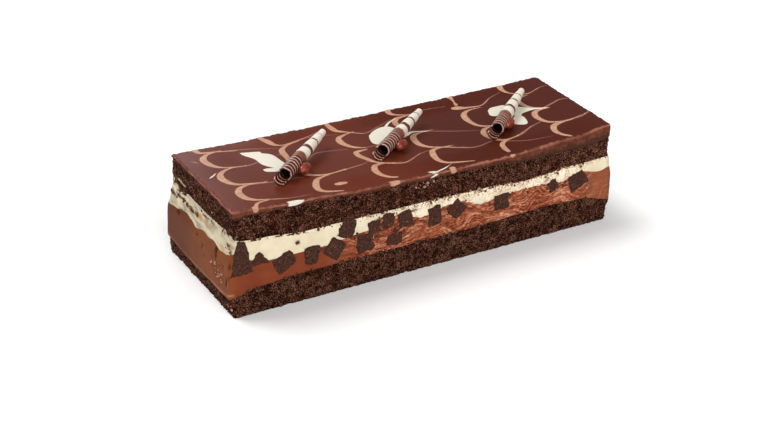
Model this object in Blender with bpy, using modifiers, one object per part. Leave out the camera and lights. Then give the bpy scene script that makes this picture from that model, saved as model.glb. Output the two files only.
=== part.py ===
"""Chocolate mousse cake: a long bar of two dark sponges with mousse, cream and brownie chunks
between them, under a chocolate glaze that carries three rolled chocolate curls and three
chocolate beans.

Metres, +Z up. The origin is the middle of the flat base and +X runs along the bar. Positions on
the bar are given in millimetres: x from its left end, z from its base.
"""

import math
import random

import bmesh
import bpy
from mathutils import Matrix, Vector, noise

MM = 0.001

# The bar. Its long cut faces and its ends stand a little outside the glazed top.
BAR = 292.0
TOP_LENGTH = 289.0
TOP_WIDTH = 89.8
HEIGHT = 73.0
FACE_SPREAD = 4.5
END_BULGE = ((0, 2.0), (9, 2.6), (14, 4.2), (34, 4.2), (46, 1.8), (52, 0.3), (73, 0.8))
GAP = 0.3

# Grid of the layers in plan
COLUMNS = 42
ROWS = 14

# Heights of the surfaces between the layers, along the front face and along the back face
BASE_TOP_FRONT = ((0, 14.5), (20, 19.3), (50, 21), (170, 21.3), (240, 23), (265, 22), (292, 15))
BASE_TOP_BACK = ((0, 9.5), (24, 19), (60, 21.5), (120, 20.6), (200, 21.6), (265, 20.5), (292, 10))
CREAM_FLOOR_FRONT = (
    (0, 40), (27, 35), (65, 35), (95, 38), (108, 45), (140, 38.5),
    (165, 43), (185, 37), (208, 42), (225, 43), (250, 39), (265, 43.5), (282, 39), (292, 41),
)
CREAM_FLOOR_BACK = (
    (0, 37), (30, 41), (52, 36), (80, 42.5), (104, 38), (132, 36), (158, 42),
    (186, 38), (214, 35.5), (238, 42), (264, 37), (292, 39),
)
CREAM_TOP_FRONT = ((0, 53), (20, 52.5), (50, 50), (130, 49.5), (190, 49), (220, 46.6), (260, 49.5))
CREAM_TOP_BACK = ((0, 50), (40, 51), (90, 49), (150, 49.6), (210, 48.2), (250, 50.5), (292, 51))
GLAZE_FLOOR_FRONT = ((0, 71), (50, 69.2), (100, 67.4), (150, 66.4), (200, 65.2), (220, 62.6), (292, 62.8))
GLAZE_FLOOR_BACK = ((0, 70.8), (100, 68), (200, 68), (292, 70.6))
TOP_FRONT = ((0, 73.4), (50, 71.0), (100, 69.0), (200, 68.4), (260, 70.6), (292, 73.6))
TOP_BACK = ((0, 73.0), (50, 71.5), (100, 70.2), (200, 70.2), (250, 71.2), (292, 73.0))
GLAZE_DEPTH = 2.3

# Crags, as the most that a side stands out or in
SPONGE_CRAG = 0.8
CREAM_CRAG = 0.4
MOUSSE_CRAG = 0.25
CRAG_PITCH = 5.3

# Brownie chunks that the front face cuts: x, z, width at the foot, height, turn, top over foot
FRONT_CHUNKS = (
    (4.5, 41.2, 12.5, 21.6, 0, 0.36),
    (16.6, 36.8, 6.8, 6.8, 43, 1.0),
    (35.3, 31.2, 13.0, 10.6, 26, 1.0),
    (55.0, 30.6, 7.0, 12.2, -4, 1.6),
    (71.6, 31.2, 11.2, 11.6, -38, 1.0),
    (80.8, 43.4, 10.4, 9.8, -14, 0.9),
    (94.2, 29.4, 11.0, 12.4, 9, 0.86),
    (101.4, 41.2, 8.6, 8.0, 8, 1.0),
    (111.8, 42.6, 8.6, 8.6, -6, 0.9),
    (116.2, 27.4, 11.4, 7.2, 0, 0.9),
    (124.6, 40.2, 10.6, 10.8, 12, 0.9),
    (147.4, 37.2, 9.6, 12.6, 5, 0.9),
    (164.8, 37.6, 10.8, 10.8, 41, 1.0),
    (201.2, 34.8, 11.2, 10.6, 3, 1.0),
    (243.6, 37.4, 7.8, 8.2, 24, 1.0),
    (265.2, 35.8, 14.2, 11.2, 27, 0.92),
)
CHUNKS_UNDER_SPONGE = (0, 5)  # these two reach up to the sponge
CHUNK_DEPTH = 12.5
CHUNK_TAIL = 0.84  # the hidden end over the cut end
CHUNK_CHAMFER = 1.0
POCKET_MOUTH = 9.0  # how far a pocket's cutter stands out of the face
POCKET_RISE = 4.0  # and how far it runs past a chunk that meets the sponge
BACK_CHUNKS = 13
BACK_CHUNK_SIZE = (9.0, 12.5)
BACK_CHUNK_HEIGHTS = (31.5, 40.5)
BACK_CHUNK_TURN = 32
BACK_CHUNK_ROOM = 1.35  # width that a turned chunk may take up, over its own
SEED = 7

# Curls: the axis at the upper rim, x and y in the frame, then its heading in degrees
CURLS = {
    "left": (-91.4, -13.6, 38.0),
    "middle": (-16.9, -11.3, 35.0),
    "right": (70.0, -16.9, 39.4),
}
CURL_LENGTH = 56.5
CURL_RADIUS = ((0, 4.8), (20, 4.7), (31, 4.2), (43, 3.5), (56.5, 2.5))
CURL_WALL = 1.0
CURL_SIDES = 16
CURL_RINGS = 5
CURL_RISE = 2.9  # how much higher the tip lies than the rim
SCOOP = 11.5
SCOOP_CURVE = 1.5
SCOOP_SIDE = math.radians(-62)  # from the left side down

# Beans, in the curl's own directions: along it from the rim, out to its right
BEANS = {"left": (12.6, 9.0), "middle": (12.6, 9.0), "right": (11.4, 8.9)}
BEAN_HALF = (5.3, 3.5, 3.4)
EGG_SHAPE = 0.12  # how much wider one end is
BEAN_SIDES = 14
BEAN_RINGS = 9

COLOURS = {
    "sponge": ((0.036, 0.019, 0.014), 0.85),
    "mousse": ((0.235, 0.092, 0.055), 0.5),
    "cream": ((0.80, 0.70, 0.50), 0.5),
    "glaze": ((0.100, 0.030, 0.023), 0.3),
    "brownie": ((0.046, 0.024, 0.020), 0.8),
    "curl": ((0.55, 0.42, 0.33), 0.4),
    "bean": ((0.23, 0.055, 0.030), 0.2),
}


def clear_scene():
    for old in list(bpy.data.objects):
        bpy.data.objects.remove(old, do_unlink=True)


def new_collection(name):
    made = bpy.data.collections.new(name)
    bpy.context.scene.collection.children.link(made)
    return made


def make_materials():
    made = {}
    for name, (colour, roughness) in COLOURS.items():
        material = bpy.data.materials.new(name)
        material.use_nodes = True
        shader = material.node_tree.nodes["Principled BSDF"]
        shader.inputs["Base Color"].default_value = (*colour, 1)
        shader.inputs["Roughness"].default_value = roughness
        shader.inputs["Metallic"].default_value = 0.0
        material.diffuse_color = (*colour, 1)
        made[name] = material
    return made


def face_outwards(bm):
    bm.normal_update()
    bmesh.ops.recalc_face_normals(bm, faces=bm.faces[:])


def new_object(name, bm, collection, material=None):
    mesh = bpy.data.meshes.new(name)
    bm.to_mesh(mesh)
    bm.free()
    obj = bpy.data.objects.new(name, mesh)
    collection.objects.link(obj)
    if material:
        mesh.materials.append(material)
    return obj


def along(profile, at):
    """The smooth curve through (place, value) pairs, level at each pair."""
    if at <= profile[0][0]:
        return profile[0][1]
    for (start, low), (end, high) in zip(profile, profile[1:]):
        if at <= end:
            t = (at - start) / (end - start)
            return low + (high - low) * t * t * (3 - 2 * t)
    return profile[-1][1]


def surface(front, back):
    """A surface between two layers: it follows both faces at the rim and is even inside."""

    def height(u, v):
        x = (u + 1) / 2 * BAR
        near, far = along(front, x), along(back, x)
        on_rim = max(abs(u), abs(v)) > 1 - 1e-6
        return near + (far - near) * (v + 1) / 2 if on_rim else (near + far) / 2

    return height


def glaze_floor(u, v):
    if v < -1 + 1e-6:
        return along(GLAZE_FLOOR_FRONT, (u + 1) / 2 * BAR)
    if v > 1 - 1e-6:
        return along(GLAZE_FLOOR_BACK, (u + 1) / 2 * BAR)
    return glaze_top(u, v) - GLAZE_DEPTH


glaze_top = surface(TOP_FRONT, TOP_BACK)
cream_top = surface(CREAM_TOP_FRONT, CREAM_TOP_BACK)
cream_floor = surface(CREAM_FLOOR_FRONT, CREAM_FLOOR_BACK)
base_top = surface(BASE_TOP_FRONT, BASE_TOP_BACK)


def base_floor(u, v):
    return 0.0


def face_y(z):
    """How far the long faces stand from the middle at a height."""
    return TOP_WIDTH / 2 + FACE_SPREAD * (1 - z / HEIGHT)


def end_x(z):
    return TOP_LENGTH / 2 + along(END_BULGE, z)


def crag(u, v, z, most):
    """Crumbly relief, the same for two layers where they meet."""
    return most * noise.noise(Vector((u * BAR / 2, v * BAR / 3, z)) / CRAG_PITCH)


def layer_point(u, v, z, crag_size):
    out = crag(u, v, z, crag_size)
    x = u * (end_x(z) + (out if abs(u) > 1 - 1e-6 else 0))
    y = v * (face_y(z) + (out if abs(v) > 1 - 1e-6 else 0))
    return x, y


def split_same_way(bm, faces):
    """Cuts each quad from its lowest corner in plan to its highest, so that two layers match."""
    for face in faces:
        if len(face.verts) != 4:
            continue
        ends = sorted(face.verts, key=lambda vert: vert.co.x + vert.co.y)
        bmesh.utils.face_split(face, ends[0], ends[-1])


def layer(name, floor, ceiling, bands, crag_sizes, collection, material):
    """One layer of the bar from a cube cut into a grid: crags at floor, side and ceiling."""
    bm = bmesh.new()
    bmesh.ops.create_cube(bm, size=2)
    for axis, parts in ((0, COLUMNS), (1, ROWS), (2, bands)):
        normal = Vector([1.0 if i == axis else 0.0 for i in range(3)])
        for i in range(1, parts):
            everything = bm.verts[:] + bm.edges[:] + bm.faces[:]
            cut = normal * (2 * i / parts - 1)
            bmesh.ops.bisect_plane(bm, geom=everything, plane_co=cut, plane_no=normal)
    inner_u, inner_v = 1 - 2 / COLUMNS + 1e-6, 1 - 2 / ROWS - 1e-6
    spare = []
    for edge in bm.edges:
        a, b = (vert.co for vert in edge.verts)
        flat = abs(a.z) > 0.999 and abs(b.z) > 0.999
        lengthways = abs(a.y - b.y) < 1e-6 and abs(a.y) < inner_v
        if flat and lengthways and max(abs(a.x), abs(b.x)) < inner_u:
            spare.append(edge)
    bmesh.ops.dissolve_edges(bm, edges=spare, use_verts=True)
    split_same_way(bm, [face for face in bm.faces if abs(face.normal.z) > 0.5])
    for vert in bm.verts:
        u, v, w = vert.co
        low, high = floor(u, v), ceiling(u, v)
        t = (w + 1) / 2
        z = low + (high - low) * t
        size = crag_sizes[0] if t < 1e-6 else crag_sizes[2] if t > 1 - 1e-6 else crag_sizes[1]
        x, y = layer_point(u, v, z, size)
        lift = GAP / 2 * (1 - 2 * t)
        if (w < 0 and floor is base_floor) or (w > 0 and ceiling is glaze_top):
            lift *= 1 - abs(w)
        vert.co = Vector((x, y, z + lift)) * MM
    face_outwards(bm)
    return new_object(name, bm, collection, material)


def chunk_mesh(chunk, side, draw, grow=0.0, through=0.0, raise_top=0.0):
    """A brownie chunk from a cube, cut flush by the long face on this side."""
    x, z, width, height, turn, top = chunk
    angle = math.radians(turn)
    bm = bmesh.new()
    bmesh.ops.create_cube(bm, size=2)
    shift_x, shift_z = draw.uniform(-1.2, 1.2), draw.uniform(-0.8, 0.8)
    for vert in bm.verts:
        sx, sy, sz = vert.co
        inward = -through if sy < 0 else CHUNK_DEPTH + grow
        deep = inward / CHUNK_DEPTH
        fullness = 1 - (1 - CHUNK_TAIL) * deep
        rise = raise_top if sz > 0 else 0.0
        narrowing = width / 2 * (1 - top) / height
        across = sx * (width / 2 * (top if sz > 0 else 1.0) * fullness + grow - narrowing * rise)
        up = sz * (height / 2 * fullness + grow) + rise
        px = x + across * math.cos(angle) - up * math.sin(angle) + shift_x * deep
        pz = z + across * math.sin(angle) + up * math.cos(angle) + shift_z * deep
        vert.co = Vector((px - BAR / 2, side * (face_y(pz) - inward), pz)) * MM
    face_outwards(bm)
    return bm


def chunk_object(name, chunk, side, seed, collection, material):
    bm = chunk_mesh(chunk, side, random.Random(seed))
    cut = max(bm.faces, key=lambda face: abs(face.calc_center_median().y))
    buried = [edge for edge in bm.edges if edge not in cut.edges[:]]
    bmesh.ops.bevel(bm, geom=buried, offset=CHUNK_CHAMFER * MM, segments=1, profile=0.5, affect="EDGES")
    return new_object(name, bm, collection, material)


def back_chunks(draw):
    """The chunks on the back face, in an uneven row that keeps clear of its neighbours."""
    pitch = BAR / BACK_CHUNKS
    for i in range(BACK_CHUNKS):
        size = draw.uniform(*BACK_CHUNK_SIZE)
        x = (i + 0.5) * pitch + draw.uniform(-1, 1) * (pitch - BACK_CHUNK_ROOM * size) / 2
        z = draw.uniform(*BACK_CHUNK_HEIGHTS)
        height = size * draw.uniform(0.8, 1.0)
        turn = draw.uniform(-BACK_CHUNK_TURN, BACK_CHUNK_TURN)
        yield (x, z, size, height, turn, draw.uniform(0.82, 1.0))


def add_chunks(parts, cutters, material):
    rows = [(-1, "front", list(FRONT_CHUNKS)), (1, "back", list(back_chunks(random.Random(SEED))))]
    for side, word, chunks in rows:
        for i, chunk in enumerate(chunks):
            seed = SEED + 100 * side + i
            chunk_object(f"brownie_{word}_{i + 1:02d}", chunk, side, seed, parts, material)
            tall = POCKET_RISE if side < 0 and i in CHUNKS_UNDER_SPONGE else 0.0
            bm = chunk_mesh(chunk, side, random.Random(seed), GAP, POCKET_MOUTH, tall)
            cutter = new_object(f"cut_{word}_{i + 1:02d}", bm, cutters)
            cutter.hide_render = True
            cutter.display_type = "WIRE"


def cut_pockets(obj, cutters):
    for cutter in cutters.objects:
        pocket = obj.modifiers.new(cutter.name, "BOOLEAN")
        pocket.operation = "DIFFERENCE"
        pocket.object = cutter
        pocket.solver = "EXACT"


def glaze_under(x, y):
    """The glaze's height below a point of the frame."""
    u, v = x / (TOP_LENGTH / 2), y / (TOP_WIDTH / 2)
    return glaze_top(u, v)


def curl_frame(x, y, heading):
    """The curl's own axes: +Z along it to the tip, with its rim centre as the origin."""
    turn = math.radians(heading)
    flat = Vector((math.cos(turn), math.sin(turn), 0))
    rise = math.asin(CURL_RISE / CURL_LENGTH)
    axis = flat * math.cos(rise) + Vector((0, 0, math.sin(rise)))
    left = Vector((0, 0, 1)).cross(axis).normalized()
    up = axis.cross(left)
    foot = Vector((x, y, 0)) - SCOOP * flat
    under = max(glaze_under(x, y), glaze_under(foot.x, foot.y))
    lift = CURL_RADIUS[0][1] + GAP + SCOOP * math.sin(rise)
    rim = Vector((x, y, under + lift))
    return Matrix.Translation(rim) @ Matrix((left, up, axis)).transposed().to_4x4()


def add_curl(name, x, y, heading, collection, material):
    """A rolled tube that narrows to its tip; at the rim its lower left side runs out as a scoop."""
    bm = bmesh.new()
    middle = Matrix.Translation((0, 0, CURL_LENGTH / 2))
    bmesh.ops.create_cone(
        bm, cap_ends=False, segments=CURL_SIDES, radius1=1, radius2=1, depth=CURL_LENGTH, matrix=middle
    )
    for i in range(1, CURL_RINGS):
        everything = bm.verts[:] + bm.edges[:] + bm.faces[:]
        height = CURL_LENGTH * i / CURL_RINGS
        bmesh.ops.bisect_plane(bm, geom=everything, plane_co=(0, 0, height), plane_no=(0, 0, 1))
    for vert in bm.verts:
        place = vert.co.z
        radius = along(CURL_RADIUS, place)
        turn = math.atan2(vert.co.y, vert.co.x)
        if place < 1e-6:
            place -= SCOOP * ((1 + math.cos(turn - SCOOP_SIDE)) / 2) ** SCOOP_CURVE
        vert.co = Vector((radius * math.cos(turn), radius * math.sin(turn), place))
    face_outwards(bm)
    bmesh.ops.transform(bm, matrix=Matrix.Scale(MM, 4) @ curl_frame(x, y, heading), verts=bm.verts[:])
    obj = new_object(name, bm, collection, material)
    wall = obj.modifiers.new("wall", "SOLIDIFY")
    wall.thickness = CURL_WALL * MM
    wall.offset = -1
    obj.data.shade_smooth()
    return obj


def add_bean(name, x, y, heading, distance, beside, collection, material):
    """An egg-shaped bean that lies on the glaze beside its curl."""
    frame = curl_frame(x, y, heading)
    turn = math.radians(heading)
    flat = Vector((math.cos(turn), math.sin(turn), 0))
    middle = frame.translation + flat * distance - frame.col[0].to_3d() * beside
    middle.z = glaze_under(middle.x, middle.y) + GAP + BEAN_HALF[2]
    bm = bmesh.new()
    bmesh.ops.create_uvsphere(bm, u_segments=BEAN_SIDES, v_segments=BEAN_RINGS, radius=1)
    for vert in bm.verts:
        x, y, z = vert.co
        fuller = 1 + EGG_SHAPE * x
        vert.co = Vector((BEAN_HALF[0] * x, BEAN_HALF[1] * y * fuller, BEAN_HALF[2] * z))
    place = Matrix.Translation(middle) @ Matrix.Rotation(turn, 4, "Z")
    bmesh.ops.transform(bm, matrix=Matrix.Scale(MM, 4) @ place, verts=bm.verts[:])
    obj = new_object(name, bm, collection, material)
    obj.data.shade_smooth()
    return obj


def build():
    clear_scene()
    parts = new_collection("chocolate_mousse_cake")
    cutters = new_collection("cutters")
    materials = make_materials()
    stack = (
        ("sponge_base", base_floor, base_top, 3, (SPONGE_CRAG, SPONGE_CRAG, MOUSSE_CRAG), "sponge"),
        ("chocolate_mousse", base_top, cream_floor, 3, (MOUSSE_CRAG,) * 3, "mousse"),
        ("cream_layer", cream_floor, cream_top, 2, (MOUSSE_CRAG, CREAM_CRAG, CREAM_CRAG), "cream"),
        ("sponge_top", cream_top, glaze_floor, 3, (CREAM_CRAG, SPONGE_CRAG, CREAM_CRAG), "sponge"),
        ("glaze", glaze_floor, glaze_top, 1, (CREAM_CRAG, 0, 0), "glaze"),
    )
    layers = {}
    for name, floor, ceiling, bands, crags, finish in stack:
        layers[name] = layer(name, floor, ceiling, bands, crags, parts, materials[finish])
    add_chunks(parts, cutters, materials["brownie"])
    cut_pockets(layers["chocolate_mousse"], cutters)
    cut_pockets(layers["cream_layer"], cutters)
    for word, (x, y, heading) in CURLS.items():
        add_curl(f"curl_{word}", x, y, heading, parts, materials["curl"])
        distance, beside = BEANS[word]
        add_bean(f"bean_{word}", x, y, heading, distance, beside, parts, materials["bean"])


build()
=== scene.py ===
import math
import random

import bpy
import numpy as np
from mathutils import Matrix, Vector, noise


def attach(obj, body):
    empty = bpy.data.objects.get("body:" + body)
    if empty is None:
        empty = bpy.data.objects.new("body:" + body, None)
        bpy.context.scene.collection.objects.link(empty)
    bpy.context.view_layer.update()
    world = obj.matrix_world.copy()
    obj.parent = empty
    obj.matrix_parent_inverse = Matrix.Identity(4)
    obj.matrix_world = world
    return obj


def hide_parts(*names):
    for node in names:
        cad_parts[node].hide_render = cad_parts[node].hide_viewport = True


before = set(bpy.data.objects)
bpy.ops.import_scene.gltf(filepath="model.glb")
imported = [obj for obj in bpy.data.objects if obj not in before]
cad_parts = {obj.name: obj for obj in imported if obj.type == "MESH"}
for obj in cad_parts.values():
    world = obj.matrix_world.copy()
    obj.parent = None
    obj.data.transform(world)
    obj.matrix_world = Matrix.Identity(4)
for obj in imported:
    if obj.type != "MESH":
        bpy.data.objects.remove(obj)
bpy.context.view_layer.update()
mm = 0.001
print("frame loaded:", len(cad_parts), "nodes")

# The bar in mm: x from its left end, z from its base. Under it, each layer's boundary is given along the
# front face, along the back face and, where it has a line of its own, along the ends from front to back
bar = {
    "length": 292.0,
    "topLength": 289.0,
    "topWidth": 89.8,
    "height": 73.0,
    "faceSpread": 4.5,
    "cornerRadius": 1.4,
    "halfLong": 146.0,
    "halfWide": 47.0,
    "endBulge": ((0, 2.0), (9, 2.6), (14, 4.2), (34, 4.2), (46, 1.8), (52, 0.3), (73, 0.8)),
    "stepsAround": 1480,
    # the drum's caps: the width of their outer ring, the reach of what lies on them and of their middle
    # point, and how far they sink
    "capInset": 0.05,
    "onCap": 0.98,
    "capMiddle": 0.5,
    "capDish": 1.5,
    # where along the half length the ends' own lines and tones begin and are full
    "endStart": (0.975, 0.995),
    # where the spots of the front face and of the left end may lie
    "frontFrom": -40.0,
    "endDepth": 4.0,
}
baseTop = (
    ((0, 14.5), (20, 19.3), (50, 21), (170, 21.3), (240, 23), (265, 22), (292, 16.6)),
    ((0, 13), (24, 19), (60, 21.5), (120, 20.6), (200, 21.6), (265, 20.5), (292, 10)),
    ((0, 14.5), (4, 12.7), (20, 11), (45, 9.6), (75, 9), (86, 10.5), (94, 13)),
)
creamFloor = (
    (
        (0, 45), (9, 39), (27, 35), (65, 35), (95, 38), (108, 45), (140, 38.5),
        (165, 43), (185, 37), (208, 39.5), (225, 39.8), (250, 38), (265, 42.5), (282, 39), (292, 41),
    ),
    (
        (0, 37), (30, 41), (52, 36), (80, 42.5), (104, 38), (132, 36), (158, 42),
        (186, 38), (214, 35.5), (238, 42), (264, 37), (292, 39),
    ),
    (
        (0, 45), (4, 43), (8, 41.6), (16, 40.6), (26, 42.2), (34, 41.1),
        (40, 42), (51, 39.6), (59, 41.2), (66, 42.3), (73, 41.4), (81, 39.3), (94, 37.5),
    ),
)
creamTop = (
    ((0, 52), (20, 50.6), (50, 48), (130, 47.6), (190, 46.8), (220, 44.8), (260, 47.2), (292, 48)),
    ((0, 50), (40, 51), (90, 49), (150, 49.6), (210, 48.2), (250, 50.5), (292, 51)),
    (
        (0, 53), (6, 54), (13, 54.6), (22, 53.6), (40, 53), (58, 53), (68, 53.4), (75, 51.3),
        (84, 48.8), (94, 50),
    ),
)
glazeFloor = (
    (
        (0, 68), (24, 68), (36, 69), (50, 68.4), (100, 65.2), (150, 63.9), (200, 62.4), (220, 59.8),
        (280, 60), (292, 62.4),
    ),
    ((0, 70.8), (100, 68), (200, 68), (292, 70.6)),
    ((0, 68.0), (5, 69.0), (12, 71.2), (94, 71.3)),
)
glazeTop = (
    ((0, 73.4), (50, 70.6), (100, 67.8), (200, 67), (260, 69.6), (292, 73.2)),
    ((0, 73), (50, 71.6), (100, 71.5), (200, 71.6), (250, 72.2), (292, 73)),
)


def along(profile, at):
    # smooth curve through (place, value) pairs
    places = np.array([pair[0] for pair in profile], float)
    values = np.array([pair[1] for pair in profile], float)
    at = np.clip(np.asarray(at, float), places[0], places[-1])
    i = np.clip(np.searchsorted(places, at), 1, len(places) - 1)
    t = (at - places[i - 1]) / (places[i] - places[i - 1])
    return values[i - 1] + (values[i] - values[i - 1]) * t * t * (3 - 2 * t)


def smooth(low, high, value):
    t = np.clip((np.asarray(value, float) - low) / (high - low), 0, 1)
    return t * t * (3 - 2 * t)


def faceY(z):
    return bar["topWidth"] / 2 + bar["faceSpread"] * (1 - z / bar["height"])


def endX(z):
    return bar["topLength"] / 2 + along(bar["endBulge"], z)


def onRim(profile, u, v):
    # height of a boundary at the rim, u and v from -1 to 1 along and across
    x = (u + 1) * bar["halfLong"]
    near, far = along(profile[0], x), along(profile[1], x)
    level = near + (far - near) * (v + 1) / 2
    if len(profile) > 2:
        start, full = bar["endStart"]
        level = level + (along(profile[2], (v + 1) * bar["halfWide"]) - level) * smooth(-start, -full, u)
    if profile is creamFloor and np.ndim(u):
        # the cream and the whipped mousse meet in lumps
        places = np.stack([x, v * bar["halfWide"], np.zeros(len(x))], 1)
        lumpy = smooth(90, 110, x) * smooth(268, 258, x)
        level = level + lumpy * (1.5 * grain(places, 4.6, 2.2) + 0.8 * grain(places, 1.9, 6.6))
    return level


def onTop(u, v):
    # the glaze's top, level across between its two rims
    x = (np.asarray(u, float) + 1) * bar["halfLong"]
    near, far = along(glazeTop[0], x), along(glazeTop[1], x)
    middle = (near + far) / 2
    rim = smooth(0.6, 1.0, np.abs(v)) * np.sign(v)
    return middle + (far - near) / 2 * rim


def walkAround(count):
    # the bar's outline as x, y and the outward direction, at even steps from the front left corner
    halfLong, radius = bar["halfLong"], bar["cornerRadius"]
    halfWide = (bar["topWidth"] + bar["faceSpread"]) / 2
    arc = math.pi / 2 * radius
    total = 2 * (2 * (halfLong - radius) + 2 * (halfWide - radius)) + 4 * arc
    place = (np.arange(count) + 0.5) / count * total
    x, y, nx, ny = (np.zeros(count) for _ in range(4))
    start = 0.0
    for side in range(4):
        turn = side * math.pi / 2
        go = (round(math.cos(turn)), round(math.sin(turn)))
        out = (go[1], -go[0])
        half, reach = (halfLong, halfWide) if side % 2 == 0 else (halfWide, halfLong)
        run = 2 * (half - radius)
        d = place - start
        here = (d >= 0) & (d < run + arc)
        level = np.clip(d, 0, run) - (half - radius)
        bend = np.clip(d - run, 0, arc) / radius
        outX = out[0] * np.cos(bend) + go[0] * np.sin(bend)
        outY = out[1] * np.cos(bend) + go[1] * np.sin(bend)
        x[here] = (go[0] * level + out[0] * (reach - radius) + radius * outX)[here]
        y[here] = (go[1] * level + out[1] * (reach - radius) + radius * outY)[here]
        nx[here], ny[here] = outX[here], outY[here]
        start += run + arc
    return x / halfLong, y / halfWide, nx, ny


def inNoise(points, size, shift):
    # where points in mm lie in a noise of that size, which is one length or three
    scale = np.broadcast_to(np.asarray(size, float), (3,))
    return (np.asarray(points, float) / scale + shift).tolist()


def grain(points, size, shift=0.0):
    # soft noise from -1 to 1
    return np.array([noise.noise(p) for p in inNoise(points, size, shift)])


def pits(points, size, shift=0.0):
    # 0 in the middle of a cell, rising to its border
    return np.array([noise.voronoi(p)[0][0] for p in inNoise(points, size, shift)])


def readPoints(piece):
    flat = np.zeros(len(piece.data.vertices) * 3)
    piece.data.vertices.foreach_get("co", flat)
    return flat.reshape(-1, 3)


def writePoints(piece, points):
    piece.data.vertices.foreach_set("co", np.asarray(points, float).ravel())
    piece.data.update()


def keepValues(piece, **shares):
    # one value per point under each name, which the materials read
    for name, values in shares.items():
        made = piece.data.attributes.new(name, "FLOAT", "POINT")
        made.data.foreach_set("value", np.asarray(values, float).ravel())


def nothingSelected():
    bpy.ops.object.select_all(action="DESELECT")


def editMode(kind):
    bpy.ops.object.mode_set(mode="EDIT")
    bpy.ops.mesh.select_mode(type=kind)


def objectMode():
    bpy.ops.object.mode_set(mode="OBJECT")


def editAll(kind):
    editMode(kind)
    bpy.ops.mesh.select_all(action="SELECT")


def named(name):
    piece = bpy.context.object
    piece.name = name
    piece.data.name = name
    return piece


def pick(piece, kind, chosen):
    # goes to edit mode with just the chosen edges or faces selected
    editMode(kind)
    bpy.ops.mesh.select_all(action="DESELECT")
    objectMode()
    parts = piece.data.edges if kind == "EDGE" else piece.data.polygons
    parts.foreach_set("select", chosen)
    editMode(kind)


def splitUpright(piece, parts, shortest):
    # cuts the edges that stand upright, and so the sides, into even parts
    edges = piece.data.edges
    ends = np.zeros(len(edges) * 2, int)
    edges.foreach_get("vertices", ends)
    z = readPoints(piece)[:, 2][ends.reshape(-1, 2)]
    pick(piece, "EDGE", np.abs(z[:, 0] - z[:, 1]) > shortest)
    bpy.ops.mesh.subdivide(number_cuts=parts - 1)
    objectMode()


def dishCaps(piece, inset):
    # gives each end cap a narrow ring and a middle point
    normals = np.array([face.normal.z for face in piece.data.polygons])
    pick(piece, "FACE", np.abs(normals) > 0.5)
    bpy.ops.mesh.inset(thickness=inset, use_individual=True)
    bpy.ops.mesh.poke()
    objectMode()


def finishPiece(piece, material, slot, *nodes):
    piece.data.materials.clear()
    piece.data.materials.append(material)
    piece.data.shade_smooth()
    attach(piece, "root")
    if nodes:
        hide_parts(*nodes)


def tone(red, green, blue):
    # a screen colour from 0 to 255 as linear light
    parts = [value / 255 for value in (red, green, blue)]
    linear = [p / 12.92 if p <= 0.04045 else ((p + 0.055) / 1.055) ** 2.4 for p in parts]
    return (*linear, 1.0)


class Paint:
    # a material and the few nodes that this cake's finishes are mixed from
    def __init__(self, name, roughness, gloss):
        self.material = bpy.data.materials.new(name)
        self.material.use_nodes = True
        self.tree = self.material.node_tree
        self.shader = self.tree.nodes["Principled BSDF"]
        self.shader.inputs["Roughness"].default_value = roughness
        self.shader.inputs["Specular IOR Level"].default_value = gloss
        self.place = self.tree.nodes.new("ShaderNodeTexCoord").outputs["Object"]

    def node(self, kind, output, inputs, **settings):
        made = self.tree.nodes.new(kind)
        for key, value in settings.items():
            setattr(made, key, value)
        for key, value in inputs.items():
            if isinstance(value, bpy.types.NodeSocket):
                self.tree.links.new(value, made.inputs[key])
            else:
                made.inputs[key].default_value = value
        return made.outputs[output]

    def values(self, name):
        return self.node("ShaderNodeAttribute", "Fac", {}, attribute_name=name)

    def stretched(self, x, y, z, place=None):
        return self.node("ShaderNodeMapping", "Vector", {"Vector": place or self.place, "Scale": (x, y, z)})

    def raised(self, height):
        upward = self.node("ShaderNodeCombineXYZ", "Vector", {"Z": height})
        return self.node("ShaderNodeVectorMath", "Vector", {0: self.place, 1: upward}, operation="ADD")

    def noise(self, size, detail=2.0, place=None, swirl=0.0):
        inputs = {"Vector": place or self.place, "Scale": 1 / (size * mm)}
        return self.node("ShaderNodeTexNoise", "Fac", {**inputs, "Detail": detail, "Distortion": swirl})

    def cells(self, size):
        inputs = {"Vector": self.place, "Scale": 1 / (size * mm)}
        return self.node("ShaderNodeTexVoronoi", "Distance", inputs)

    def between(self, value, low, high, toLow=0.0, toHigh=1.0):
        inputs = {"Value": value, "From Min": low, "From Max": high, "To Min": toLow, "To Max": toHigh}
        return self.node("ShaderNodeMapRange", "Result", inputs, interpolation_type="SMOOTHSTEP")

    def sum(self, operation, a, b):
        return self.node("ShaderNodeMath", 0, {0: a, 1: b}, operation=operation)

    def mix(self, factor, a, b, blend="MIX"):
        settings = {"data_type": "RGBA", "blend_type": blend}
        return self.node("ShaderNodeMix", 2, {0: factor, 6: a, 7: b}, **settings)

    def ramp(self, value, *stops):
        made = self.tree.nodes.new("ShaderNodeValToRGB")
        self.tree.links.new(value, made.inputs["Fac"])
        points = made.color_ramp.elements
        while len(points) < len(stops):
            points.new(0.5)
        for point, (place, colour) in zip(points, stops):
            point.position = place
            point.color = colour
        return made.outputs["Color"]

    def blend(self, value, low, high):
        # from one screen colour to another as soft noise rises
        return self.ramp(value, (0.3, tone(*low)), (0.7, tone(*high)))

    def cover(self, body, name, colour):
        # lays a colour over the body where the mesh's values of that name are high
        return self.mix(self.values(name), body, colour)

    def link(self, socket, name):
        self.tree.links.new(socket, self.shader.inputs[name])

    def colour(self, socket):
        self.link(socket, "Base Color")

    def bump(self, height, depth):
        inputs = {"Height": height, "Strength": 1.0, "Distance": depth * mm}
        self.link(self.node("ShaderNodeBump", "Normal", inputs), "Normal")


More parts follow.
